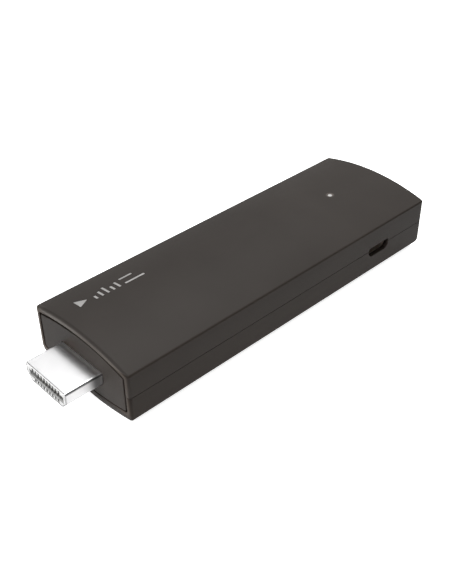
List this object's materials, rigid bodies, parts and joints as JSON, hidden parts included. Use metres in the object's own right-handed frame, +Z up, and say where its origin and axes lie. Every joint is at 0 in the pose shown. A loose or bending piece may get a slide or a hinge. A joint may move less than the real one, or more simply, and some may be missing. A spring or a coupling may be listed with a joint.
{
  "type": "streaming media player",
  "caption": "Flat charcoal media stick with crowned faces, a rigid HDMI plug at one end, a micro-USB power port in one side and a pinpoint status light.",
  "frame": {"origin": "under the middle of the whole object, plug included, at the level of the underside's flat strip", "axes": "+Z up through the crowned top, the HDMI plug points along -Y, +Y runs to the closed end, the micro-USB port faces +X"},
  "size_m": [0.0312, 0.1018, 0.016],
  "materials": {
    "casing_plastic": "fine satin moulded texture, warm charcoal",
    "plug_plating": "bright nickel plating on stamped steel",
    "plug_moulding": "pale moulded resin",
    "contact_gold": "gold flash on stamped strip",
    "socket_metal": "dark nickel on stamped steel",
    "socket_moulding": "black moulded resin",
    "board_laminate": "green solder mask over glass laminate",
    "chip_resin": "black moulding compound, faintly grained",
    "tinned_metal": "tinned sheet, rolling grain",
    "antenna_metal": "plated stamped strip",
    "spreader_metal": "rolled plate, as cut",
    "ferrite": "pressed ferrite, coarse grain",
    "chip_ceramic": "brown fired ceramic",
    "thermal_silicone": "soft filled silicone",
    "clear_resin": "clear light-guiding resin",
    "led_resin": "milky resin over the die",
    "label_film": "thin printed film with no text",
    "screw_steel": "zinc-plated steel"
  },
  "bodies": {
    "root": {"top_cover": "casing_plastic", "bottom_cover": "casing_plastic", "rating_label": "label_film", "front_plate": "casing_plastic", "light_pipe": "clear_resin", "hdmi_shell": "plug_plating", "hdmi_moulding": "plug_moulding", "hdmi_contact_upper_1": "contact_gold", "hdmi_contact_upper_2": "contact_gold", "hdmi_contact_upper_3": "contact_gold", "hdmi_contact_upper_4": "contact_gold", "hdmi_contact_upper_5": "contact_gold", "hdmi_contact_upper_6": "contact_gold", "hdmi_contact_upper_7": "contact_gold", "hdmi_contact_upper_8": "contact_gold", "hdmi_contact_upper_9": "contact_gold", "hdmi_contact_upper_10": "contact_gold", "hdmi_contact_lower_1": "contact_gold", "hdmi_contact_lower_2": "contact_gold", "hdmi_contact_lower_3": "contact_gold", "hdmi_contact_lower_4": "contact_gold", "hdmi_contact_lower_5": "contact_gold", "hdmi_contact_lower_6": "contact_gold", "hdmi_contact_lower_7": "contact_gold", "hdmi_contact_lower_8": "contact_gold", "hdmi_contact_lower_9": "contact_gold", "micro_usb_shell": "socket_metal", "micro_usb_moulding": "socket_moulding", "micro_usb_contact_1": "contact_gold", "micro_usb_contact_2": "contact_gold", "micro_usb_contact_3": "contact_gold", "micro_usb_contact_4": "contact_gold", "micro_usb_contact_5": "contact_gold", "main_board": "board_laminate", "processor": "chip_resin", "memory_chip_1": "chip_resin", "memory_chip_2": "chip_resin", "power_chip": "chip_resin", "wifi_module": "tinned_metal", "crystal": "tinned_metal", "status_led": "led_resin", "esd_array_1": "chip_resin", "esd_array_2": "chip_resin", "inductor_1": "ferrite", "inductor_2": "ferrite", "inductor_3": "ferrite", "capacitor_1": "chip_ceramic", "capacitor_2": "chip_ceramic", "capacitor_3": "chip_ceramic", "flash_memory": "chip_resin", "shield_frame": "tinned_metal", "shield_lid": "tinned_metal", "inner_thermal_pad": "thermal_silicone", "outer_thermal_pad": "thermal_silicone", "heat_spreader": "spreader_metal", "antenna_right": "antenna_metal", "antenna_left": "antenna_metal", "board_screw_1": "screw_steel", "board_screw_2": "screw_steel"}
  },
  "joints": []
}
